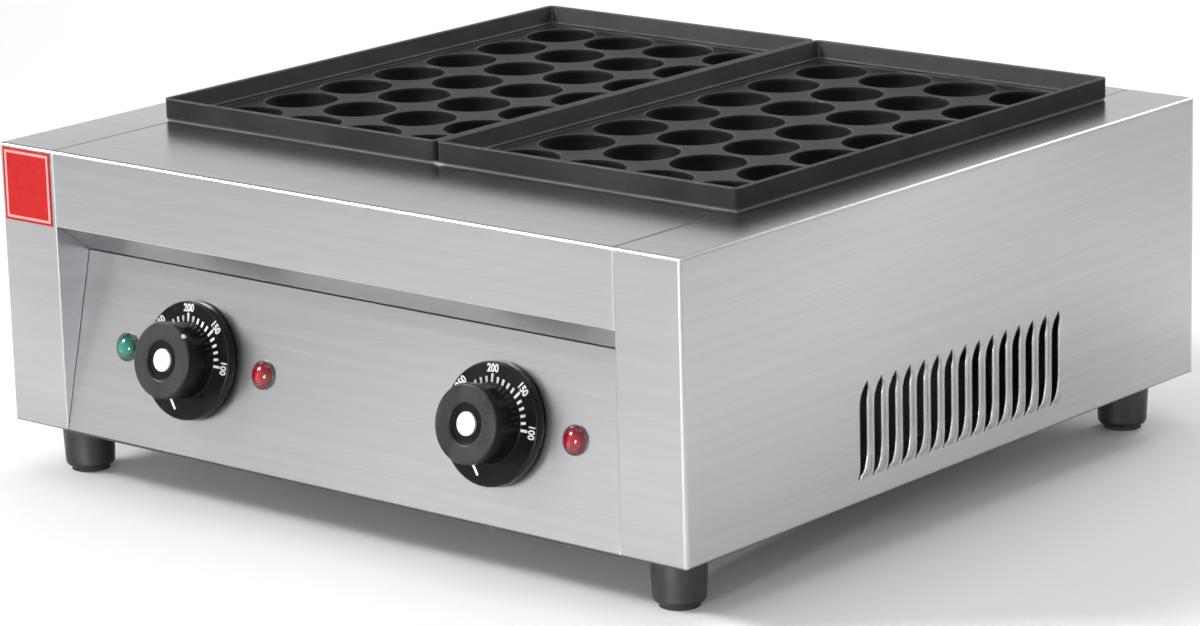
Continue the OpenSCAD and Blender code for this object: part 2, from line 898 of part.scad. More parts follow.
// Frame that carries both plates, with the walls of the two heating wells
module hob_frame() {
    wall_w = 2 * plate_w + plate_gap - 2 * frame_wall_inset;
    wall_d = plate_d - 2 * frame_wall_inset;
    beam_w = plate_gap + 2 * frame_open_inset;
    color(STEEL)
        difference() {
            union() {
                hob_box(frame_w, frame_d, top_z + seat_air, top_z + frame_rise);
                hob_box(wall_w, wall_d, well_z, top_z + frame_rise);
            }
            for (side = SIDES)
                translate([side * plate_cx, 0, 0])
                    hob_box(open_w, open_d, well_z - CUT, top_z + frame_rise + CUT);
            hob_box(beam_w - 2 * sheet_t, wall_d - 2 * sheet_t, well_z - CUT, top_z);
            at_cold_ends()
                translate([0, -CUT, 0])
                    rotate([-90, 0, 0])
                        cylinder(r = element_r + hole_clearance, h = 2 * CUT + sheet_t);
            for (side = SIDES)
                translate([side * plate_cx, well_front_y - CUT, capillary_z])
                    rotate([-90, 0, 0])
                        cylinder(r = capillary_d / 2 + hole_clearance, h = 2 * CUT + sheet_t);
        }
}

// Pan that closes the wells from below and sends the heat up
module reflector_tray() {
    wall_w = 2 * plate_w + plate_gap - 2 * frame_wall_inset + 2 * seat_air;
    wall_d = plate_d - 2 * frame_wall_inset + 2 * seat_air;
    color(STEEL)
        difference() {
            hob_box(
                wall_w + 2 * sheet_t, wall_d + 2 * sheet_t,
                tray_z, well_z + tray_wall_h
            );
            hob_box(wall_w, wall_d, tray_z + sheet_t, well_z + tray_wall_h + CUT);
        }
}

// Channel-shaped bars that carry the elements on the tray
module element_supports() {
    color(STEEL)
        for (side = SIDES, end = ENDS)
            translate([side * plate_cx, plate_cy + end * support_y, 0])
                rotate([90, 0, 90])
                    translate([0, 0, seam_gap - open_w / 2])
                        linear_extrude(open_w - 2 * seam_gap)
                            support_section();
}

module support_section() {
    difference() {
        translate([-support_w / 2, well_z])
            square([support_w, support_top_z - well_z]);
        translate([sheet_t - support_w / 2, well_z - CUT])
            square([support_w - 2 * sheet_t, support_top_z - sheet_t - well_z + CUT]);
    }
}

// Sheet that keeps the wells' heat off the control gear, with a foot on the base plate
module heat_shield() {
    foot = return_d;
    color(STEEL)
        difference() {
            union() {
                span(
                    [-sheet_half, shield_y, base_top_z + seat_air],
                    [sheet_half, shield_y + sheet_t, tray_z - seam_gap]
                );
                span(
                    [-sheet_half, shield_y, base_top_z + seat_air],
                    [sheet_half, shield_y + foot, base_top_z + seat_air + sheet_t]
                );
            }
            span(
                [-lead_gate / 2, shield_y - CUT, base_top_z],
                [lead_gate / 2, shield_y + foot + CUT, base_top_z + lead_gate / 4]
            );
            at_shield_screws()
                translate([0, 0, -CUT])
                    cylinder(r = screw_hole_r, h = sheet_t + 2 * CUT);
        }
}

// Children stand on the shield's foot with z up
module at_shield_screws() {
    for (side = SIDES)
        translate([side * knob_x, shield_y + return_d / 2, base_top_z + seat_air])
            children();
}

// ---------------------------------------------------------------- heating

// Children stand where the outer legs pass the well's front wall
module at_cold_ends() {
    for (side = SIDES, leg = [-1.5, 1.5])
        translate([side * plate_cx + leg * leg_pitch, well_front_y, element_z])
            children();
}

// Tubular element about the origin: four legs under the cups, three bends between them
module heating_element() {
    bend = leg_pitch / 2;
    color(DARK_METAL) {
        for (leg = [-1.5, -0.5, 0.5, 1.5]) {
            outer = abs(leg) > 1;
            front = outer ? element_front - plate_cy : -element_reach;
            translate([leg * leg_pitch, element_reach, element_z])
                rotate([90, 0, 0])
                    cylinder(r = element_r, h = element_reach - front);
            if (outer)
                translate([leg * leg_pitch, front - terminal_l, element_z])
                    rotate([-90, 0, 0])
                        cylinder(d = terminal_d, h = terminal_l + CUT);
        }
        for (side = SIDES)
            translate([side * leg_pitch, element_reach, element_z])
                element_bend(bend, 0);
        translate([0, -element_reach, element_z])
            element_bend(bend, 180);
    }
}

module element_bend(r, turn) {
    rotate([0, 0, turn])
        rotate_extrude(angle = 180)
            translate([r, 0])
                circle(element_r);
}

module left_heating_element() {
    translate([-plate_cx, plate_cy, 0])
        heating_element();
}

module right_heating_element() {
    translate([plate_cx, plate_cy, 0])
        heating_element();
}

// Ceramic bushes on the elements' cold ends, in front of the wells
module element_bushes() {
    color(CERAMIC)
        at_cold_ends()
            translate([0, -seat_air, 0])
                rotate([90, 0, 0])
                    difference() {
                        cylinder(d = bush_d, h = bush_t);
                        translate([0, 0, -CUT])
                            cylinder(r = element_r + seat_air, h = bush_t + 2 * CUT);
                    }
}

// Nuts on the elements' threaded terminals
module element_nuts() {
    color(BRASS)
        for (side = SIDES, leg = [-1.5, 1.5])
            translate([
                side * plate_cx + leg * leg_pitch,
                element_front - seat_air,
                element_z
            ])
                rotate([90, 0, 0])
                    difference() {
                        cylinder(d = 2 * terminal_d, h = nut_t, $fn = 6);
                        translate([0, 0, -CUT])
                            cylinder(r = terminal_d / 2 + seat_air, h = nut_t + 2 * CUT);
                    }
}

// ---------------------------------------------------------------- knobs

module at_knobs() {
    for (side = SIDES)
        on_panel(side * knob_x, control_v)
            children();
}

// Quarter arc of profile points from one angle to another
function arc(centre, r, from, to, steps = 6) =
    [for (i = [0:steps]) centre + r * [
        cos(from + (to - from) * i / steps),
        sin(from + (to - from) * i / steps)
    ]];

// Half section of the knob: x is radius and y is height over the panel
function knob_profile() = concat(
    [
        [bore_r, knob_base],
        [hub_r, knob_base],
        [hub_r, knob_base + skirt_hollow],
        [skirt_d / 2 - skirt_rim_w, knob_base + skirt_hollow],
        [skirt_d / 2 - skirt_rim_w, knob_base]
    ],
    arc([skirt_d / 2 - skirt_edge_r, knob_base + skirt_edge_r], skirt_edge_r, -90, 0),
    arc([skirt_d / 2 - 2 * skirt_edge_r, skirt_face - 2 * skirt_edge_r],
        2 * skirt_edge_r, 0, 90),
    [[grip_foot_d / 2, skirt_face]],
    arc([grip_d / 2 - grip_edge_r, knob_face - grip_edge_r], grip_edge_r, 0, 90),
    arc([dish_d / 2, knob_face - dish_depth], dish_depth, 90, 180),
    [
        [0, knob_face - dish_depth],
        [0, spindle_end + seat_air],
        [bore_r, spindle_end + seat_air]
    ]
);

module knob() {
    color(BLACK)
        rotate_extrude()
            polygon(knob_profile());
}

module left_knob() {
    on_panel(-knob_x, control_v)
        knob();
}

module right_knob() {
    on_panel(knob_x, control_v)
        knob();
}

// Plain pale disc in the middle of the grip
module knob_inlay() {
    color(WHITE)
        translate([0, 0, knob_face - dish_depth])
            cylinder(d = inlay_d, h = inlay_t);
}

module left_knob_inlay() {
    on_panel(-knob_x, control_v)
        knob_inlay();
}

module right_knob_inlay() {
    on_panel(knob_x, control_v)
        knob_inlay();
}

// One printed line on the skirt, from a radius outward, turned about its middle by a lean
module dial_line(angle, r, l, lean = 0) {
    rotate([0, 0, angle])
        translate([r + l / 2, 0, skirt_face + print_t / 2])
            rotate([0, 0, lean])
                cube([l, tick_w, print_t], center = true);
}

// Graduations round the skirt, and the line for off
module dial_marks() {
    r = grip_foot_d / 2 + dial_gap;
    color(WHITE) {
        for (i = [0:dial_count - 1])
            dial_line(
                dial_start + i * dial_step, r,
                i % dial_major == 0 ? major_len : tick_len
            );
        dial_line(off_angle, r, off_len, off_lean);
    }
}

module left_dial_marks() {
    on_panel(-knob_x, control_v)
        dial_marks();
}

module right_dial_marks() {
    on_panel(knob_x, control_v)
        dial_marks();
}

module thermostat_spindle() {
    color(STEEL)
        translate([0, 0, spindle_start])
            cylinder(d = spindle_d, h = spindle_end - spindle_start);
}

module left_thermostat_spindle() {
    on_panel(-knob_x, control_v)
        thermostat_spindle();
}

module right_thermostat_spindle() {
    on_panel(knob_x, control_v)
        thermostat_spindle();
}

// ---------------------------------------------------------------- control gear

// Thermostat behind the panel, with a collar that carries the spindle
module thermostat() {
    color(BLACK)
        difference() {
            union() {
                translate([-thermostat_w / 2, -thermostat_w / 2, thermostat_back])
                    cube([thermostat_w, thermostat_w, thermostat_l]);
                translate([0, 0, -sheet_t - CUT])
                    cylinder(d = collar_d, h = sheet_t + CUT + collar_stand);
            }
            translate([0, 0, spindle_start - seat_air])
                cylinder(r = bore_r, h = body_d);
            for (side = SIDES)
                translate([side * thermostat_screw_pitch / 2, 0, -screw_l - CUT])
                    cylinder(r = screw_hole_r, h = screw_l + CUT);
        }
}

module left_thermostat() {
    on_panel(-knob_x, control_v)
        thermostat();
}

module right_thermostat() {
    on_panel(knob_x, control_v)
        thermostat();
}

// Screws under the knobs' skirts
module thermostat_screws() {
    color(STEEL)
        at_knobs()
            for (side = SIDES)
                translate([side * thermostat_screw_pitch / 2, 0, 0])
                    sheet_screw();
}

// Bulb on the front support under a plate, with its capillary to the thermostat
module temperature_bulb(side) {
    x = side * plate_cx;
    front = plate_cy - support_y - bulb_l / 2;
    bulb_z = support_top_z + bulb_d / 2 + seat_air;
    rear = panel_point(x, control_v + thermostat_w / 3, thermostat_back - seat_air);
    color(BRASS) {
        translate([x, front, bulb_z])
            rotate([-90, 0, 0])
                cylinder(d = bulb_d, h = bulb_l);
        wire([
            [x, front + CUT, bulb_z],
            [x, front - 2 * capillary_d, bulb_z],
            [x, front - 2 * capillary_d, capillary_z],
            [x, capillary_lane_y, capillary_z],
            [x, capillary_lane_y, rear.z],
            rear
        ], capillary_d / 2);
    }
}

module left_temperature_bulb() {
    temperature_bulb(-1);
}

module right_temperature_bulb() {
    temperature_bulb(1);
}

module at_lamps() {
    for (x = lamp_x)
        on_panel(x, control_v)
            children();
}

// Domed lens on the bezel
module lens() {
    dome_r = (pow(lens_d / 2, 2) + pow(lens_h, 2)) / (2 * lens_h);
    translate([0, 0, bezel_t + seat_air])
        intersection() {
            translate([0, 0, lens_h - dome_r])
                sphere(dome_r);
            cylinder(d = lens_d, h = lens_h);
        }
}

module power_lamp_lens() {
    color(GREEN)
        on_panel(lamp_x[0], control_v)
            lens();
}

module left_heating_lamp_lens() {
    color(RED)
        on_panel(lamp_x[1], control_v)
            lens();
}

module right_heating_lamp_lens() {
    color(RED)
        on_panel(lamp_x[2], control_v)
            lens();
}

module lamp_bezels() {
    color(DARK_METAL)
        at_lamps()
            difference() {
                cylinder(d = lens_d + 2 * bezel_w, h = bezel_t);
                translate([0, 0, -CUT])
                    cylinder(r = lamp_hole_r, h = bezel_t + 2 * CUT);
            }
}

module lamp_bodies() {
    color(CERAMIC)
        at_lamps()
            translate([0, 0, -sheet_t - lamp_body_l])
                cylinder(d = lamp_body_d, h = lamp_body_l + sheet_t + bezel_t);
}

// Push-on rings that hold the lamps behind the panel
module lamp_clips() {
    color(STEEL)
        at_lamps()
            translate([0, 0, -sheet_t - seat_air - clip_t])
                difference() {
                    cylinder(d = lamp_body_d + 6, h = clip_t);
                    translate([0, 0, -CUT])
                        cylinder(r = lamp_body_d / 2 + seat_air, h = clip_t + 2 * CUT);
                }
}

// ---------------------------------------------------------------- wiring

// A point given as on the sloping panel: across, up the slope and out of it
function panel_point(u, v, n) = [
    u,
    v * sin(panel_tilt) - n * cos(panel_tilt) - half_d,
    bottom_z + v * cos(panel_tilt) + n * sin(panel_tilt)
];

module terminal_block() {
    color(CERAMIC)
        translate([block_x - block_w / 2, block_y - block_d / 2, base_top_z + seat_air])
            cube([block_w, block_d, block_h]);
}

module terminal_screws() {
    color(BRASS)
        for (i = [0:block_ways - 1])
            translate([block_way_x(i), block_y, base_top_z + 2 * seat_air + block_h])
                cylinder(d = screw_d, h = screw_head_h);
}

// Middle of one way of the terminal block
function block_way_x(i) = block_x + (i - (block_ways - 1) / 2) * block_w / block_ways;

// Leads from the terminal block to the two thermostats
module supply_leads() {
    color(RED)
        for (side = SIDES) {
            way_x = block_way_x(side < 0 ? 1 : 2);
            turn_y = block_front_y - lead_lane * (side < 0 ? 2 : 3);
            rear = panel_point(
                side * (knob_x + lead_lane),
                control_v - lead_lane,
                thermostat_back - lead_seat
            );
            wire([
                [way_x, block_front_y - seat_air, lead_z],
                [way_x, turn_y, lead_z],
                [side * lead_lane, turn_y, lead_z],
                [side * lead_lane, front_lane_y, lead_z],
                [rear.x, front_lane_y, lead_z],
                [rear.x, front_lane_y, rear.z],
                rear
            ], lead_d / 2);
        }
}

// Leads from the thermostats to the elements, and from the elements to the block
module heater_leads() {
    color(WHITE)
        for (side = SIDES) {
            start = panel_point(
                side * (knob_x + lead_lane),
                control_v + lead_lane,
                thermostat_back - lead_seat
            );
            outer_x = side * (plate_cx + 1.5 * leg_pitch);
            inner_x = side * (plate_cx - 1.5 * leg_pitch);
            way_x = block_way_x(side < 0 ? 0 : 3);
            turn_y = block_front_y - lead_lane * (side < 0 ? 1 : 4);
            wire([
                start,
                [start.x, front_lane_y, start.z],
                [outer_x, front_lane_y, start.z],
                [outer_x, front_lane_y, element_z],
                [outer_x, terminal_front_y - seat_air, element_z]
            ], lead_d / 2);
            wire([
                [inner_x, terminal_front_y - seat_air, element_z],
                [inner_x, return_lane_y, element_z],
                [inner_x, return_lane_y, lead_z],
                [side * 2 * lead_lane, return_lane_y, lead_z],
                [side * 2 * lead_lane, turn_y, lead_z],
                [way_x, turn_y, lead_z],
                [way_x, block_front_y - seat_air, lead_z]
            ], lead_d / 2);
        }
}

// Leads from the lamps to the thermostats beside them
module lamp_leads() {
    color(BLACK)
        for (i = [0:2]) {
            knob_side = i < 2 ? -1 : 1;
            lamp_side = i == 0 ? -1 : 1;
            start = panel_point(lamp_x[i], control_v, -sheet_t - lamp_body_l - lead_seat);
            finish = panel_point(
                knob_side * knob_x + lamp_side * lead_lane / 2,
                control_v,
                thermostat_back - lead_seat
            );
            lane_y = front_lane_y - 2 * lead_d;
            wire([
                start,
                [start.x, lane_y, start.z],
                [finish.x, lane_y, start.z],
                [finish.x, lane_y, finish.z],
                finish
            ], lead_d / 2);
        }
}

module earth_lead() {
    color(GREEN)
        bar(
            [block_x + block_w / 2 + seat_air, block_y, earth_lead_z],
            [earth_x - nut_w / 2 - seat_air, block_y, earth_lead_z],
            lead_d / 2
        );
}

// Earth bolt and its nut on the base plate
module earth_stud() {
    color(BRASS)
        translate([earth_x, block_y, base_top_z + seat_air]) {
            cylinder(d = nut_w, h = nut_t, $fn = 6);
            cylinder(d = screw_d, h = 3 * nut_t);
        }
}

module at_gland() {
    translate([gland_x, half_d, bottom_z + gland_z])
        rotate([-90, 0, 0])
            children();
}

// Gland body: thread through the rear panel, hexagon and dome outside
module cable_gland() {
    dome_l = gland_l - gland_hex_t;
    color(BLACK)
        at_gland()
            difference() {
                union() {
                    translate([0, 0, -gland_tail])
                        cylinder(d = gland_thread_d, h = gland_tail + CUT);
                    translate([0, 0, seat_air])
                        cylinder(d = gland_flats / cos(30), h = gland_hex_t, $fn = 6);
                    translate([0, 0, gland_hex_t])
                        cylinder(d1 = gland_flats - 2, d2 = gland_thread_d, h = dome_l);
                }
                translate([0, 0, -gland_tail - CUT])
                    cylinder(d = gland_bore_d, h = gland_tail + gland_l + 2 * CUT);
            }
}

module gland_nut() {
    color(BLACK)
        at_gland()
            translate([0, 0, -sheet_t - seat_air - gland_nut_t])
                difference() {
                    cylinder(d = gland_flats / cos(30), h = gland_nut_t, $fn = 6);
                    translate([0, 0, -CUT])
                        cylinder(
                            d = gland_thread_d + 2 * seat_air,
                            h = gland_nut_t + 2 * CUT
                        );
                }
}

// ---------------------------------------------------------------- feet

// Half section of a foot: x is radius and y is height
function foot_profile() = concat(
    [
        [0, pad_h + seat_air],
        [foot_d / 2 - foot_edge_r, pad_h + seat_air]
    ],
    arc([foot_d / 2 - foot_edge_r, pad_h + seat_air + foot_edge_r], foot_edge_r, -90, 0),
    [
        [foot_top_d / 2, foot_h - seat_air - foot_flange_t],
        [foot_flange_d / 2, foot_h - seat_air - foot_flange_t],
        [foot_flange_d / 2, foot_h - seat_air],
        [foot_hole_r, foot_h - seat_air],
        [foot_hole_r, foot_h - foot_thread_l],
        [0, foot_h - foot_thread_l]
    ]
);

module foot(side, end) {
    color(DARK_METAL)
        translate([side * foot_x, end * foot_y, 0])
            rotate_extrude()
                polygon(foot_profile());
}

module front_left_foot() {
    foot(-1, -1);
}

module front_right_foot() {
    foot(1, -1);
}

module rear_left_foot() {
    foot(-1, 1);
}

module rear_right_foot() {
    foot(1, 1);
}

module foot_pads() {
    color(BLACK)
        at_feet()
            cylinder(d = foot_d - 2 * foot_edge_r, h = pad_h);
}

// Bolts from inside the casing down into the feet
module foot_bolts() {
    color(STEEL)
        at_feet()
            translate([0, 0, base_top_z])
                screw(
                    foot_bolt_d,
                    base_top_z - foot_h + foot_thread_l - CUT,
                    2 * foot_bolt_d,
                    screw_head_h
                );
}

// ---------------------------------------------------------------- screws and tag

module rear_panel_screws() {
    color(STEEL)
        at_rear_screws()
            sheet_screw();
}

module base_screws() {
    color(STEEL)
        at_base_screws()
            sheet_screw();
}

module shield_screws() {
    color(STEEL)
        at_shield_screws()
            translate([0, 0, sheet_t])
                screw(screw_d, 2 * sheet_t + 2 * seat_air, screw_head_d, screw_head_h);
}

// Plain red tag on the left flange
module front_tag() {
    color(RED)
        translate([
            -half_w + (flange_w - tag_w) / 2,
            -half_d - tag_t,
            top_z - bend_r - tag_h
        ])
            cube([tag_w, tag_t, tag_h]);
}

left_side_panel();
right_side_panel();
front_fascia();
control_panel();
rear_panel();
base_plate();
hob_frame();
reflector_tray();
heat_shield();
left_plate();
right_plate();
left_heating_element();
right_heating_element();
element_supports();
element_bushes();
element_nuts();
left_knob();
right_knob();
left_knob_inlay();
right_knob_inlay();
left_dial_marks();
right_dial_marks();
left_thermostat_spindle();
right_thermostat_spindle();
left_thermostat();
right_thermostat();
thermostat_screws();
left_temperature_bulb();
right_temperature_bulb();
power_lamp_lens();
left_heating_lamp_lens();
right_heating_lamp_lens();
lamp_bezels();
lamp_bodies();
lamp_clips();
terminal_block();
terminal_screws();
supply_leads();
heater_leads();
lamp_leads();
earth_lead();
earth_stud();
cable_gland();
gland_nut();
front_left_foot();
front_right_foot();
rear_left_foot();
rear_right_foot();
foot_pads();
foot_bolts();
rear_panel_screws();
base_screws();
shield_screws();
front_tag();
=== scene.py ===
# %% [markdown]
# A takoyaki maker is a countertop cooker: a folded stainless casing with two cast
# plates of round cups on top and two thermostat knobs on a sloping panel in front.
# The solid model gives every part its shape and place, in metres. This lesson loads it,
# lights it, gives every part a finish made of nodes, and adds the small pieces that
# are easier to model by hand than to construct.

# %% Load the solid model
import json
import math

import bpy
from mathutils import Matrix, Vector


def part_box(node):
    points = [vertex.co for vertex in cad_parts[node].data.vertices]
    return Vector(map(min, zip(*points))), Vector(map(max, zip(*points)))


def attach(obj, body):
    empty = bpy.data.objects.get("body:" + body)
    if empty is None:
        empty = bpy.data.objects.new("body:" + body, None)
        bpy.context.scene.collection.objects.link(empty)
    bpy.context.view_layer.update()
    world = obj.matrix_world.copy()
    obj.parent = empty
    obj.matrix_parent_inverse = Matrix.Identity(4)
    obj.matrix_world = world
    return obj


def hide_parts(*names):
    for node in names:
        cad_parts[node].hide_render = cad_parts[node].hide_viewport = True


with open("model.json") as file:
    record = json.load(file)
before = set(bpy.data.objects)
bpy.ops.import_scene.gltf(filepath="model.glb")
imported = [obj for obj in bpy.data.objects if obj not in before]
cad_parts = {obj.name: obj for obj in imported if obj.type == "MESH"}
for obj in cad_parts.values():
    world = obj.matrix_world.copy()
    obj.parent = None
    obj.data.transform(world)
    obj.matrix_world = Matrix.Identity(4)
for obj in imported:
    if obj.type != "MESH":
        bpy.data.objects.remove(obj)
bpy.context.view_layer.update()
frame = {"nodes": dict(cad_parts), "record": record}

nodes = frame["nodes"]
slot_of = {row["node"]: row["material_slot"] for row in frame["record"]["subparts"]}
# The plain materials go, so that the finishes can take their names.
for plain in list(bpy.data.materials):
    bpy.data.materials.remove(plain)

# %% [markdown]
# The photograph looks at the cooker from its front right, a little above the plates.
# The camera could be aimed by eye. Here its place and turn were worked out from the
# corners of the casing, so that the same corners fall on the same spots of the picture.

# %% Camera
bpy.ops.object.camera_add(
    location=(1.49652, -1.76134, 0.66743),
    rotation=[math.radians(a) for a in (75.58125, 1.48625, 40.04729)],
)
camera = bpy.context.object
camera.name = "camera"
camera.data.sensor_width = 36
camera.data.lens = 135.36
camera.data.clip_end = 60
bpy.context.scene.camera = camera
print("camera lens:", camera.data.lens, "mm")

# %% [markdown]
# Stainless sheet shows little of its own. It shows what stands round it, so most of the
# light comes from large pale surfaces: a wide floor and a bright world that dims towards
# the zenith and in one corner at the front left. A key lamp at the front left sends a
# narrow beam, because the knobs' shadows fall to the right. A low upright strip stands in
# front, left of the camera: round black parts show it as one bright line, and so do the
# folded corners. Two soft boxes light the plates from above and the floor behind the
# cooker. A picture of a studio could do all this, but lamps are easier to move about.

# %% Floor and lights
bpy.ops.mesh.primitive_plane_add(size=40, location=(0, 0, 0))
floor = bpy.context.object
floor.name = "floor"


def soft_box(name, place, aim, size, power, spread=180):
    """An area light of a width and height at a place, turned towards a point."""
    bpy.ops.object.light_add(type="AREA", location=place)
    light = bpy.context.object
    light.name = name
    light.data.shape = "RECTANGLE"
    light.data.size, light.data.size_y = size
    light.data.energy = power
    light.data.spread = math.radians(spread)
    light.visible_camera = False
    light.rotation_euler = (Vector(aim) - Vector(place)).to_track_quat("-Z", "Y").to_euler()
    return light


soft_box("key_light", (-3.4, -2.7, 3.4), (0.45, 0.1, 0), (1.5, 1.5), 6.5, 20)
soft_box("strip_light", (0.45, -2.2, 0.2), (0, 0, 0.08), (0.12, 0.36), 26)
soft_box("back_light", (-0.3, 3.2, 1.8), (-1.0, 1.3, 0), (1.6, 1.2), 14, 70)
soft_box("top_light", (-0.3, 0.2, 2.6), (0, 0, 0.1), (2.2, 2.2), 14)

world = bpy.data.worlds.new("studio")
world.use_nodes = True
sky = world.node_tree.nodes
wires = world.node_tree.links
direction = sky.new("ShaderNodeTexCoord").outputs["Generated"]


def dimmer(value, start, end, least):
    """Falls from 1 to a least value while the value it follows goes from start to end."""
    made = sky.new("ShaderNodeMapRange")
    made.inputs["From Min"].default_value = start
    made.inputs["From Max"].default_value = end
    made.inputs["To Min"].default_value = 1.0
    made.inputs["To Max"].default_value = least
    wires.new(value, made.inputs["Value"])
    return made.outputs[0]


upwards = sky.new("ShaderNodeSeparateXYZ")
wires.new(direction, upwards.inputs[0])
towards_corner = sky.new("ShaderNodeVectorMath")
towards_corner.operation = "DOT_PRODUCT"
towards_corner.inputs[1].default_value = (-0.85, -0.52, 0.05)
wires.new(direction, towards_corner.inputs[0])
strength = sky.new("ShaderNodeMath")
strength.operation = "MULTIPLY"
wires.new(dimmer(upwards.outputs["Z"], 0.0, 0.9, 0.35), strength.inputs[0])
wires.new(dimmer(towards_corner.outputs["Value"], 0.965, 0.99, 0.6), strength.inputs[1])
wires.new(strength.outputs[0], sky["Background"].inputs["Strength"])
sky["Background"].inputs["Color"].default_value = (1, 1, 1, 1)
bpy.context.scene.world = world
bpy.context.scene.view_settings.view_transform = "Standard"

# %% [markdown]
# A finish is a material with nodes. Written one node at a time it would fill pages, so
# two small classes do the wiring. The first, Wire, stands for one output of a node. It
# can be added to, multiplied and so on, and every sum adds its Math node.

# %% A socket that Python can calculate with


class Wire:
    """One output of a node. Arithmetic with it adds Math nodes."""

    def __init__(self, finish, socket):
        self.finish = finish
        self.socket = socket

    def math(self, operation, *values):
        """A Math node with these values, which may be wires or plain numbers."""
        return self.finish.node(
            "ShaderNodeMath", {"operation": operation}, dict(enumerate(values))
        )

    def other(self, name):
        """Another output of the same node."""
        return Wire(self.finish, self.socket.node.outputs[name])

    def __add__(self, value):
        return self.math("ADD", self, value)

    def __sub__(self, value):
        return self.math("SUBTRACT", self, value)

    def __rsub__(self, value):
        return self.math("SUBTRACT", value, self)

    def __mul__(self, value):
        return self.math("MULTIPLY", self, value)

    def __abs__(self):
        return self.math("ABSOLUTE", self)

    __radd__ = __add__
    __rmul__ = __mul__


# %% [markdown]
# The second class, Finish, holds a material. It adds any node by its type, its settings
# and the values of its sockets, and has a short method for each thing that the finishes
# below need often: noise, a blend of colours, a stretched value, a bump, a worn edge.

# %% A material that takes its nodes one by one


class Finish:
    """A material under construction, with its main shader ready."""

    def __init__(self, name, **sockets):
        self.material = bpy.data.materials.new(name)
        self.material.use_nodes = True
        self.tree = self.material.node_tree
        self.shader = self.tree.nodes["Principled BSDF"]
        self.place = self.node("ShaderNodeTexCoord").other("Object")
        self.set(**sockets)

    def node(self, kind, settings=None, sockets=None, out=0):
        """Adds a node and gives the wire of one of its outputs."""
        made = self.tree.nodes.new(kind)
        for key, value in (settings or {}).items():
            setattr(made, key, value)
        for key, value in (sockets or {}).items():
            self.feed(made.inputs[key], value)
        return Wire(self, made.outputs[out])

    def feed(self, socket, value):
        """Joins a wire to a socket, or sets the socket to a plain value."""
        if isinstance(value, Wire):
            self.tree.links.new(value.socket, socket)
        else:
            socket.default_value = value

    def set(self, **sockets):
        """Feeds the main shader: base_color=... goes to its socket Base Color."""
        for key, value in sockets.items():
            name = key.replace("_", " ").title().replace("Specular Level", "Specular IOR Level")
            self.feed(self.shader.inputs[name], value)

    def axis(self, name, vector=None):
        """The X, Y or Z of the place on the object, or of another vector."""
        vector = self.place if vector is None else vector
        return self.node("ShaderNodeSeparateXYZ", None, {0: vector}).other(name)

    def measure(self, operation, first, second):
        """A number from two vectors: their DISTANCE or their DOT_PRODUCT."""
        return self.node(
            "ShaderNodeVectorMath", {"operation": operation}, {0: first, 1: second}, out="Value"
        )

    def noise(self, stretch, detail):
        """Noise from 0 to 1. stretch is its number of grains in a metre along x, y and z."""
        if not isinstance(stretch, tuple):
            stretch = (stretch,) * 3
        mapped = self.node(
            "ShaderNodeMapping",
            {"vector_type": "POINT"},
            {"Vector": self.place, "Scale": stretch},
        )
        return self.node(
            "ShaderNodeTexNoise",
            {"noise_dimensions": "3D"},
            {"Vector": mapped, "Scale": 1.0, "Detail": detail, "Roughness": 0.5},
        )

    def mix(self, amount, low, high):
        """Blends two colours."""
        return self.node(
            "ShaderNodeMix", {"data_type": "RGBA"}, {0: amount, 6: low, 7: high}, out=2
        )

    def between(self, value, low, high):
        """Stretches low..high of a value to 0..1 and cuts off what lies outside."""
        return self.node(
            "ShaderNodeMapRange",
            {"clamp": True},
            {"Value": value, "From Min": low, "From Max": high},
        )

    def bump(self, height, distance, strength=1.0, under=None):
        """A normal from a height map that is so deep in metres, over another normal."""
        sockets = {"Height": height, "Distance": distance, "Strength": strength}
        if under is not None:
            sockets["Normal"] = under
        return self.node("ShaderNodeBump", None, sockets)

    def round_edges(self, radius):
        """Shading normal that rounds sharp edges off by a radius."""
        return self.node("ShaderNodeBevel", {"samples": 4}, {"Radius": radius})

    def edge_mask(self, rounded):
        """1 on the sharp edges that a rounded normal softens, and 0 elsewhere."""
        flat = self.node("ShaderNodeNewGeometry").other("Normal")
        return self.between(1.0 - self.measure("DOT_PRODUCT", rounded, flat), 0.004, 0.12)


# %% [markdown]
# The solid model names a material slot for each of its parts. The finishes could be put
# on part by part, but a finish that bears a slot's name finds all its parts by itself.

# %% Dressing the solid parts
finishes = {}


def grey(level, blue=0.0):
    """A grey as a colour, a touch bluer if asked."""
    return (level, level, level + blue, 1)


def dress(finish):
    """Puts a finish on every solid whose slot bears its name."""
    finishes[finish.material.name] = finish.material
    named = [n for n, slot in slot_of.items() if slot == finish.material.name]
    for name in named:
        nodes[name].data.materials.clear()
        nodes[name].data.materials.append(finish.material)
    print(finish.material.name, "on", len(named), "parts")
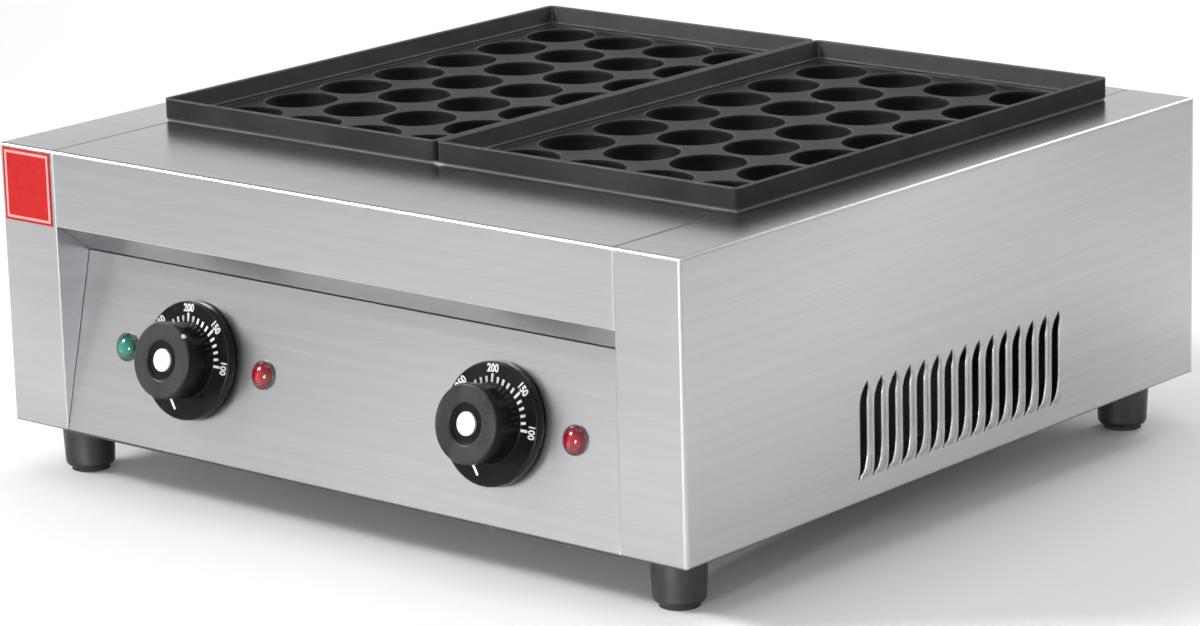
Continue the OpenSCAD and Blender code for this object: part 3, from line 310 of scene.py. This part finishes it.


# %% [markdown]
# The casing is brushed stainless sheet. Brushing leaves fine scratches along the sheet.
# An anisotropic shader could smear the reflections as they do, but a stretched noise
# shows the scratches too: long along x and y and very short along z on the upright
# walls, and short along y on the top. Broad clouds change the tone as hands and wiping
# do. The sharp edges of the walls are painted bright, as a painted highlight, and those of
# the top are painted dark, as painted shade. The lowest edge, the seams of the top and the
# edge of the plates' frame are painted dark too, as painted shade.

# %% Brushed stainless sheet
steel = Finish("stainless_sheet", metallic=1.0)
facing = steel.node("ShaderNodeNewGeometry").other("Normal")
lying = steel.between(abs(steel.axis("Z", facing)), 0.75, 0.85)
wall_brush = steel.noise((14, 14, 2600), 3)
top_brush = steel.noise((14, 2600, 14), 3)
brush = wall_brush + (top_brush - wall_brush) * lying
wall_streak = steel.noise((2, 2, 320), 2)
top_streak = steel.noise((2, 320, 2), 2)
streak = wall_streak + (top_streak - wall_streak) * lying
cloud = steel.noise(5.0, 3)
wiped = steel.noise((3.2, 3.2, 7.0), 1)
rounded = steel.round_edges(0.0011)
edge_light_mask = steel.edge_mask(rounded)
grain = steel.between(brush * 0.5 + streak * 0.3 + cloud * 0.2, 0.36, 0.64)
tone = grain * 0.4 + steel.between(wiped, 0.34, 0.66) * 0.6
sheet_colour = steel.mix(tone, (0.44, 0.44, 0.453, 1), (0.61, 0.61, 0.625, 1))
# Painted highlight and painted shade: wall edges are painted bright, top edges dark.
edge_highlight_and_shade = steel.mix(lying, (0.95, 0.95, 0.96, 1), (0.10, 0.10, 0.105, 1))
height = steel.axis("Z")
casing_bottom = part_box("left_side_panel")[0].z
seam_x, casing_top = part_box("front_fascia")[1].xz
# Painted shade: dark lines along the lowest edge, the plates' frame and the top's seams.
hem = steel.between(height, casing_bottom + 0.0014, casing_bottom + 0.0008)
frame_edge = steel.between(height, casing_top + 0.0002, casing_top + 0.0006)
seam = lying * steel.between(abs(abs(steel.axis("X")) - seam_x), 0.0009, 0.0005)
painted_shade = hem + frame_edge + seam
sheet_with_edge_light = steel.mix(edge_light_mask * 0.8, sheet_colour, edge_highlight_and_shade)
steel.set(
    base_color=steel.mix(painted_shade * 0.85, sheet_with_edge_light, grey(0.03)),
    roughness=0.25 - lying * 0.07 + brush * 0.05 + cloud * 0.05,
    normal=steel.bump(brush + streak * 0.5, 0.000004, under=rounded),
)
dress(steel)
print("casing from z", round(casing_bottom, 5), "to", round(casing_top, 5))
print("seams at x", round(seam_x, 5))

# %% [markdown]
# The plates are cast, then seasoned until they are almost black. Casting sand leaves a
# fine pebbled skin, and oil makes some patches smoother than others. The edges on top
# are painted a lighter grey, as a painted highlight. The cups are painted darkest, as
# painted shade, and made rougher. A mask could be painted for them, but the height
# alone tells them from the webs between them.

# %% Seasoned cast plates
cast = Finish("cast_plate", metallic=0.1, specular_level=0.18)
pebble = cast.noise(1100.0, 3)
pit = cast.noise(300.0, 2)
oil = cast.noise(24.0, 4)
rounded = cast.round_edges(0.0009)
# Painted highlight: sharp edges outside the cups are painted a lighter grey.
cast_edge_highlight = cast.edge_mask(rounded)
low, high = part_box("left_plate")
in_cup = cast.between(cast.axis("Z"), high.z - 0.0103, high.z - 0.0118)
web_skin = cast.mix(cast.between(oil, 0.35, 0.65), grey(0.012, 0.001), grey(0.026, 0.002))
# Painted shade: the cups below the webs are painted near black.
skin_and_cup_shade = cast.mix(in_cup, web_skin, grey(0.003))
cast_edge_grey = cast.mix(pit, grey(0.08), grey(0.3, 0.01))
cast.set(
    base_color=cast.mix(cast_edge_highlight * (1 - in_cup), skin_and_cup_shade, cast_edge_grey),
    roughness=0.40 + oil * 0.14 + pebble * 0.06 + in_cup * 0.2,
    normal=cast.bump(pebble + pit * 0.7, 0.00012, 0.8, under=rounded),
)
dress(cast)

# %% [markdown]
# The heating elements are steel tubes that have glowed many times. They end up dark,
# with brown and blue bands where they were hottest. The bands could follow the tube's
# length, but they are seen only under a lifted plate, so a slow noise makes them.

# %% Heat-stained element tubes
tube = Finish("element_tube", metallic=0.85)
heat = tube.noise((9, 22, 9), 2)
scale_spots = tube.noise(420.0, 4)
burnt = tube.mix(tube.between(heat, 0.4, 0.6), (0.16, 0.13, 0.11, 1), (0.20, 0.21, 0.25, 1))
tube.set(
    base_color=tube.mix(tube.between(scale_spots, 0.55, 0.7), burnt, grey(0.07)),
    roughness=0.42 + scale_spots * 0.25,
    normal=tube.bump(scale_spots, 0.00008),
)
dress(tube)

# %% [markdown]
# The control panel leans back, so the knobs and the dials lean with it. Points on them
# could be worked out one by one in the cooker's own axes. It is easier to give them
# across the panel, up its slope and out of it, and to let one matrix do the turning.

# %% The sloping panel's own axes
low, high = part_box("control_panel")
TILT = math.radians(13.373)
KNOB_X = 0.103
CONTROL_V = 0.050
FRONT_Y = low.y
BOTTOM_Z = low.z


def on_panel(u, v, n, turn=0.0):
    """Matrix of a point on the panel: u across, v up the slope, n out of it."""
    axes = Matrix(
        (
            (1, 0, 0),
            (0, math.sin(TILT), -math.cos(TILT)),
            (0, math.cos(TILT), math.sin(TILT)),
        )
    )
    place = axes @ Vector((u, v, n)) + Vector((0, FRONT_Y, BOTTOM_Z))
    return Matrix.Translation(place) @ axes.to_4x4() @ Matrix.Rotation(turn, 4, "Z")


print("panel tilt:", round(math.degrees(TILT), 2), "degrees")

# %% [markdown]
# The knobs are pressed from black bakelite, with faint flow marks and a pale painted
# sheen along the edges. The top face of the grip is painted a lighter dark grey, a painted
# sheen. That face could have a material of its own, but then its edge would be hard, so
# the height over the panel blends the two. The left grip has a small white mark on its
# shoulder, which is all that lies near one point.

# %% Black bakelite
PANEL_NORMAL = (0, -math.cos(TILT), math.sin(TILT))
PANEL_LEVEL = BOTTOM_Z * math.sin(TILT) - FRONT_Y * math.cos(TILT)
GRIP_FACE = 0.0246
GRIP_SHOULDER_R = 0.0194
MARK_ANGLE = 0.81

bakelite = Finish("black_bakelite", specular_level=0.16)
flow = bakelite.noise((60, 60, 25), 4)
fine = bakelite.noise(1500.0, 2)
rounded = bakelite.round_edges(0.0007)
edge = bakelite.edge_mask(rounded)
level = bakelite.measure("DOT_PRODUCT", bakelite.place, PANEL_NORMAL)
# Painted sheen: the grip's top face is painted lighter than the rest of the knob.
face_sheen = bakelite.between(level, PANEL_LEVEL + GRIP_FACE - 0.0011, PANEL_LEVEL + GRIP_FACE)
marbled = bakelite.between(flow, 0.35, 0.65)
resin = bakelite.mix(marbled, grey(0.003), grey(0.008))
face_sheen_grey = bakelite.mix(marbled, grey(0.026, 0.001), grey(0.042, 0.001))
# Painted sheen: the sharp edges of the knobs are painted a paler grey.
black = bakelite.mix(edge * 0.5, bakelite.mix(face_sheen, resin, face_sheen_grey), grey(0.06))
mark_u = -KNOB_X + GRIP_SHOULDER_R * math.cos(MARK_ANGLE)
mark_v = CONTROL_V + GRIP_SHOULDER_R * math.sin(MARK_ANGLE)
mark = on_panel(mark_u, mark_v, GRIP_FACE - 0.001).translation
from_mark = bakelite.measure("DISTANCE", bakelite.place, mark) + fine * 0.0004
marked = bakelite.between(from_mark, 0.0017, 0.0013)
bakelite.set(
    base_color=bakelite.mix(marked, black, grey(0.62)),
    roughness=0.22 + flow * 0.08 + fine * 0.03,
    normal=bakelite.bump(fine + flow * 0.4, 0.00003, under=rounded),
)
dress(bakelite)
print("mark at", [round(value, 4) for value in mark])

# %% [markdown]
# The graduations and the numbers are printed in white ink, a little uneven and worn.
# The solid model has the graduations as thin solids of their own, so the ink is a plain
# finish on them and needs no mask.

# %% White printing ink
ink = Finish("white_print", specular_level=0.4)
patch = ink.noise(900.0, 3)
ink.set(
    base_color=ink.mix(ink.between(patch, 0.3, 0.55), grey(0.52), grey(0.70)),
    roughness=0.45 + patch * 0.2,
    normal=ink.bump(patch, 0.00003),
)
dress(ink)

# %% [markdown]
# Many small parts differ only in colour, gloss and grain: screws, bushes, leads, pads.
# One recipe serves them all. It varies the colour by a noise of the right size, makes
# the surface rough in the same places, and gives the edges a colour of their own.

# %% One recipe for the small parts


def small_part(name, dark, light, rough, grain, depth, metal=0.0, edge=None):
    """A finish between two colours, with a grain of so many per metre and so deep."""
    made = Finish(name, metallic=metal)
    speck = made.noise(grain, 3)
    broad = made.noise(60.0, 2)
    soft_normal = made.round_edges(0.0005)
    colour = made.mix(made.between(speck * 0.5 + broad * 0.5, 0.38, 0.62), dark, light)
    if edge:
        colour = made.mix(made.edge_mask(soft_normal) * 0.7, colour, edge)
    made.set(
        base_color=colour,
        roughness=rough + speck * 0.12 + broad * 0.08,
        normal=made.bump(speck, depth, under=soft_normal),
    )
    dress(made)


DULL_BRASS = (0.52, 0.36, 0.13, 1)
BRASS = (0.74, 0.56, 0.25, 1)
RUBBED_BRASS = (0.86, 0.7, 0.4, 1)
small_part("ceramic", (0.74, 0.72, 0.66, 1), (0.86, 0.84, 0.79, 1), 0.45, 700.0, 4e-5)
small_part("brass", DULL_BRASS, BRASS, 0.24, 900.0, 2e-5, 1.0, RUBBED_BRASS)
small_part("spindle_steel", grey(0.5), grey(0.68), 0.25, 300.0, 1e-5, 1.0, grey(0.85))
small_part("screw_steel", grey(0.48), grey(0.66), 0.28, 800.0, 2e-5, 1.0, grey(0.9))
small_part("bezel_metal", grey(0.03), grey(0.06), 0.2, 900.0, 1e-5, 0.2, grey(0.3))
small_part("white_plastic", grey(0.72), (0.84, 0.83, 0.80, 1), 0.42, 1200.0, 2e-5)
small_part("red_lead", (0.42, 0.02, 0.015, 1), (0.62, 0.05, 0.03, 1), 0.4, 500.0, 3e-5)
small_part("white_lead", grey(0.62), (0.84, 0.82, 0.76, 1), 0.75, 1400.0, 2e-4)
small_part("black_lead", grey(0.018), grey(0.04), 0.42, 500.0, 3e-5)
small_part("green_lead", (0.03, 0.24, 0.04, 1), (0.08, 0.38, 0.08, 1), 0.4, 500.0, 3e-5)
small_part("black_nylon", grey(0.02), grey(0.04), 0.45, 1300.0, 4e-5, edge=grey(0.09))
small_part("foot_rubber", grey(0.012), grey(0.028), 0.7, 1500.0, 6e-5)

# %% [markdown]
# The feet are turned from dark metal. The tool leaves fine rings, which a noise squeezed
# along z gives. The metal could be a mirror, but the pale floor would then fill it, so it
# is satin, and its round wall shows the strip of light as one soft upright band.

# %% Dark turned feet
foot = Finish("foot_metal", metallic=1.0)
turned = foot.noise((40, 40, 6000), 1)
smudge = foot.noise(90.0, 3)
rounded = foot.round_edges(0.0006)
foot.set(
    base_color=foot.mix(foot.between(smudge, 0.35, 0.65), grey(0.06), grey(0.085, 0.004)),
    roughness=0.40 + smudge * 0.08,
    normal=foot.bump(turned, 0.00002, under=rounded),
)
dress(foot)

# %% [markdown]
# A lamp's lens is a small dome of coloured plastic with a lamp behind it. It could be
# clear plastic that light passes through, but such small parts would be grainy. Its
# colour does it instead, bright in the middle and deep where the dome turns away, under
# a glossy coat.

# %% Lamp lenses


def lens(name, centres, deep, bright, glow):
    """A lens that is bright round its axis and deep in colour towards its rim."""
    made = Finish(name, roughness=0.08, transmission_weight=0.2)
    made.set(coat_weight=0.6, coat_roughness=0.06)
    ripple = made.noise(600.0, 1)
    reach = None
    for centre in centres:
        away = made.measure("DISTANCE", made.place, centre)
        reach = away if reach is None else reach.math("MINIMUM", reach, away)
    made.set(
        base_color=made.mix(made.between(reach + ripple * 0.0012, 0.0028, 0.0068), bright, deep),
        emission_color=glow,
        emission_strength=0.1,
        normal=made.bump(ripple, 0.00004),
    )
    dress(made)


def middle(name):
    """The centre of a solid part's box."""
    low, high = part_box(name)
    return (low + high) / 2


lens(
    "red_lens",
    [middle("left_heating_lamp_lens"), middle("right_heating_lamp_lens")],
    (0.07, 0.001, 0.004, 1),
    (0.36, 0.004, 0.014, 1),
    (0.5, 0.01, 0.02, 1),
)
lens(
    "green_lens",
    [middle("power_lamp_lens")],
    (0.0, 0.045, 0.03, 1),
    (0.02, 0.26, 0.18, 1),
    (0.0, 0.22, 0.14, 1),
)

# %% [markdown]
# The tag on the left flange is printed red with a paler border and holds no words. The
# border could be a piece of its own, but it is only ink, so it is a part of the colour
# that follows the tag's own box.

# %% Red tag with a paler border
low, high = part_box("front_tag")
tag = Finish("red_tag", specular_level=0.2)
past_side = abs(tag.axis("X") - (low.x + high.x) / 2) - (high.x - low.x) / 2
past_end = abs(tag.axis("Z") - (low.z + high.z) / 2) - (high.z - low.z) / 2
inside = -1.0 * past_side.math("MAXIMUM", past_side, past_end)
border = tag.between(inside, 0.0012, 0.0015) * tag.between(inside, 0.0028, 0.0025)
mottle = tag.noise(500.0, 3)
red = tag.mix(tag.between(mottle, 0.3, 0.7), (0.36, 0.006, 0.006, 1), (0.44, 0.01, 0.01, 1))
tag.set(
    base_color=tag.mix(border * 0.75, red, (0.74, 0.42, 0.40, 1)),
    roughness=0.32 + mottle * 0.12,
    normal=tag.bump(mottle, 0.00002),
)
dress(tag)

# %% [markdown]
# The floor is plain and pale. It isn't part of the cooker.

# %% Floor
ground = Finish("floor_paint", base_color=grey(0.92), roughness=0.7)
floor.data.materials.append(ground.material)
print("finishes:", len(finishes), "and the floor's paint")

# %% [markdown]
# The numbers of the dial stand outside the graduations, close to the skirt's edge, with
# their feet towards the middle. They could be part of the material, but a thin mesh stays
# sharp from near. Each is a text object, made a mesh first and then put in its place on
# the skirt, and it turns with its knob.

# %% Dial numbers
SKIRT_FACE = 0.0066
NUMBER_SIZE = 0.0048
NUMBER_TALLER = 1.15
NUMBER_WEIGHT = 0.00012
NUMBER_T = 0.0001
NUMBER_RING_R = 0.0268
NUMBER_STEP = 47
NUMBER_LIFT = 0.00012


def number(text):
    """A number as a thin mesh, centred on the origin and lying on z = 0."""
    bpy.ops.object.select_all(action="DESELECT")
    bpy.ops.object.text_add()
    made = bpy.context.object
    made.data.body = text
    made.data.size = NUMBER_SIZE
    made.data.align_x = "CENTER"
    made.data.align_y = "CENTER"
    made.data.extrude = NUMBER_T
    made.data.offset = NUMBER_WEIGHT
    made.data.resolution_u = 4
    bpy.ops.object.convert(target="MESH")
    bpy.ops.transform.resize(value=(1, NUMBER_TALLER, 1))
    bpy.ops.object.transform_apply(location=False, rotation=False, scale=True)
    return bpy.context.object


def settle(piece, matrix):
    """Moves a mesh by a matrix and leaves its object at the origin."""
    piece.matrix_world = matrix
    bpy.ops.object.select_all(action="DESELECT")
    piece.select_set(True)
    bpy.context.view_layer.objects.active = piece
    bpy.ops.object.transform_apply(location=True, rotation=True, scale=True)
    return piece


for side, sign in (("left", -1), ("right", 1)):
    for i, value in enumerate(("100", "150", "200", "250", "300")):
        angle = math.radians(NUMBER_STEP * i)
        piece = number(value)
        piece.name = f"{side}_dial_number_{value}"
        spot = on_panel(
            sign * KNOB_X + NUMBER_RING_R * math.cos(angle),
            CONTROL_V + NUMBER_RING_R * math.sin(angle),
            SKIRT_FACE + NUMBER_LIFT,
            angle - math.pi / 2,
        )
        settle(piece, spot)
        piece.data.materials.append(finishes["white_print"])
        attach(piece, f"{side}_knob")

# %% [markdown]
# Pan-head screws with a cross recess hold the rear panel and the base plate. The solid
# model has plain heads. A recess could be faked by a dark cross in the material, but it
# would look flat in the light from the side, so these screws are made by hand. Blender's
# tools act on what is selected, so the first helper selects faces by centre and normal.

# %% Selecting faces in code
def pick(piece, wanted):
    """Goes to edit mode and selects the faces that pass a test of centre and normal."""
    bpy.ops.object.mode_set(mode="EDIT")
    bpy.ops.mesh.select_mode(type="FACE")
    bpy.ops.mesh.select_all(action="DESELECT")
    bpy.ops.object.mode_set(mode="OBJECT")
    for face in piece.data.polygons:
        face.select = bool(wanted(face.center, face.normal))
    bpy.ops.object.mode_set(mode="EDIT")


def upper(centre, normal):
    """Is the face on top?"""
    return normal.z > 0.9


def lower(centre, normal):
    """Is the face underneath?"""
    return normal.z < -0.9


def cylinder(radius, bottom, top, sides):
    """A cylinder round Z between two heights."""
    bpy.ops.object.select_all(action="DESELECT")
    bpy.ops.mesh.primitive_cylinder_add(
        vertices=sides, radius=radius, depth=top - bottom, location=(0, 0, (bottom + top) / 2)
    )
    bpy.ops.object.transform_apply(location=True, rotation=True, scale=True)
    return bpy.context.object


def grow(height, scale):
    """Extrudes the selected face by a height and scales what it makes round Z."""
    bpy.ops.mesh.extrude_region_move(TRANSFORM_OT_translate={"value": (0, 0, height)})
    bpy.ops.transform.resize(value=(scale, scale, 1), center_override=(0, 0, 0))


def cut(piece, tool):
    """Takes a tool's shape out of a piece and deletes the tool."""
    step = piece.modifiers.new("cut", "BOOLEAN")
    step.object = tool
    step.operation = "DIFFERENCE"
    step.solver = "EXACT"
    bpy.ops.object.select_all(action="DESELECT")
    piece.select_set(True)
    bpy.context.view_layer.objects.active = piece
    bpy.ops.object.modifier_apply(modifier="cut")
    bpy.data.objects.remove(tool)


print("helpers:", [helper.__name__ for helper in (pick, upper, lower, cylinder, grow, cut)])

# %% [markdown]
# The first screw stands at the origin with its head up. It is a cylinder whose shoulder
# is bevelled. The lower face is inset and extruded into a shank with a blunt tip. Two
# blades that narrow downwards then cut the cross.

# %% One screw with a cross recess
HEAD_R = 0.0038
HEAD_H = 0.0024
SHOULDER = 0.0011
SHANK_R = 0.0019
SHANK_L = 0.0088
TIP_L = 0.0012
BLADE = (0.0044, 0.0009, 0.0028)
BLADE_TAPER = 0.45
SEAT_AIR = 0.0001

first_screw = cylinder(HEAD_R, SEAT_AIR, HEAD_H, 48)
pick(first_screw, upper)
bpy.ops.mesh.bevel(offset=SHOULDER, segments=5)
pick(first_screw, lower)
bpy.ops.mesh.inset(thickness=HEAD_R - SHANK_R)
grow(TIP_L - SHANK_L, 1.0)
grow(-TIP_L, 0.3)
bpy.ops.object.mode_set(mode="OBJECT")
for turn in (0, math.pi / 2):
    bpy.ops.object.select_all(action="DESELECT")
    bpy.ops.mesh.primitive_cube_add(size=1, location=(0, 0, HEAD_H))
    blade = bpy.context.object
    blade.scale = BLADE
    blade.rotation_euler.z = turn
    bpy.ops.object.transform_apply(location=True, rotation=True, scale=True)
    pick(blade, lower)
    bpy.ops.transform.resize(value=(BLADE_TAPER, BLADE_TAPER, 1), center_override=(0, 0, 0))
    bpy.ops.object.mode_set(mode="OBJECT")
    cut(first_screw, blade)
bpy.ops.object.shade_smooth_by_angle(angle=math.radians(35))
print("screw faces:", len(first_screw.data.polygons))

# %% [markdown]
# The plain screws of the solid model say where the new ones go. Each set of four has one
# screw in every corner of its box. Every copy has its cross turned another way.

# %% Eight screws in their places
low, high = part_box("rear_panel_screws")
rear_places = [
    (x, high.y - HEAD_H - SEAT_AIR, z)
    for x in (low.x + HEAD_R, high.x - HEAD_R)
    for z in (low.z + HEAD_R, high.z - HEAD_R)
]
low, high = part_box("base_screws")
base_places = [
    (x, y, low.z + HEAD_H + SEAT_AIR)
    for x in (low.x + HEAD_R, high.x - HEAD_R)
    for y in (low.y + HEAD_R, high.y - HEAD_R)
]
backward = Matrix.Rotation(-math.pi / 2, 4, "X")
downward = Matrix.Rotation(math.pi, 4, "X")
for node, places, turned in (
    ("rear_panel_screws", rear_places, backward),
    ("base_screws", base_places, downward),
):
    for i, place in enumerate(places):
        screw = first_screw.copy()
        screw.data = first_screw.data.copy()
        bpy.context.collection.objects.link(screw)
        screw.name = f"{node[:-1]}_{i + 1}"
        spin = Matrix.Rotation(0.5 + 1.1 * i, 4, "Z")
        settle(screw, Matrix.Translation(place) @ turned @ spin)
        screw.data.materials.append(finishes["screw_steel"])
        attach(screw, "casing")
        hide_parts(node)
bpy.data.objects.remove(first_screw)
print("screws:", len(rear_places) + len(base_places))

# %% [markdown]
# The mains lead would enter through a gland of black nylon: a hexagon against the panel,
# a thread through it, and a cap that is turned by hand. The solid model's gland has no
# ribs to grip. They could be separate bars, but moulded ribs are one with the cap: it
# starts as a cylinder with 36 sides, every second side is pushed out, and its end grows
# in steps into a dome. The hexagon is a cylinder with six sides and bevelled edges. A
# round tool cuts the hole for the lead through all three.

# %% Cable gland
low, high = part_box("cable_gland")
gland_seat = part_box("rear_panel")[1].y
gland_place = ((low.x + high.x) / 2, gland_seat, (low.z + high.z) / 2)
gland_length = high.y - gland_seat
gland_tail = gland_seat - low.y
HEXAGON_R = (high.x - low.x) / 2 - 0.0002
HEXAGON_T = 0.005
THREAD_R = 0.0079
CAP_R = 0.0088
CAP_SIDES = 36
CAP_SHOULDER = 0.0112
CAP_STEPS = ((0.0016, 0.98), (0.0016, 0.93), (0.0013, 0.88), (0.0007, 0.86))
RIB_OUT = 1.08
BORE_R = 0.0045
OVERLAP = 0.0002

hexagon = cylinder(HEXAGON_R, SEAT_AIR, HEXAGON_T, 6)
pick(hexagon, lambda centre, normal: True)
bpy.ops.mesh.bevel(offset=0.0006, segments=2)
bpy.ops.object.mode_set(mode="OBJECT")

thread = cylinder(THREAD_R, -gland_tail, HEXAGON_T - 0.0005, 48)

cap = cylinder(CAP_R, HEXAGON_T - OVERLAP, CAP_SHOULDER, CAP_SIDES)


def every_second(centre, normal):
    """Is the face an even one of the sides? They stand 10 degrees apart, from 5."""
    angle = math.degrees(math.atan2(normal.y, normal.x))
    return abs(normal.z) < 0.5 and round((angle - 5) / 10) % 2 == 0


pick(cap, every_second)
bpy.ops.mesh.extrude_faces_move(TRANSFORM_OT_shrink_fatten={"value": 0})
bpy.ops.transform.resize(value=(RIB_OUT, RIB_OUT, 1), center_override=(0, 0, 0))
pick(cap, lambda centre, normal: normal.z > 0.9 and centre.xy.length < 0.001)
for rise, shrink in CAP_STEPS:
    grow(rise, shrink)
bpy.ops.object.mode_set(mode="OBJECT")
cap_end = max(v.co.z for v in cap.data.vertices)
print("cap ends at", round(cap_end, 4), "of", round(gland_length, 4))

for part in (hexagon, thread, cap):
    cut(part, cylinder(BORE_R, -0.02, 0.03, 48))
bpy.ops.object.select_all(action="DESELECT")
for part in (hexagon, thread, cap):
    part.select_set(True)
bpy.context.view_layer.objects.active = cap
bpy.ops.object.join()
cap.name = "cable_gland_body"
bpy.ops.object.shade_smooth_by_angle(angle=math.radians(35))
settle(cap, Matrix.Translation(gland_place) @ backward @ Matrix.Rotation(math.pi / 2, 4, "Z"))
cap.data.materials.append(finishes["black_nylon"])
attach(cap, "casing")
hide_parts("cable_gland")
print("gland faces:", len(cap.data.polygons))
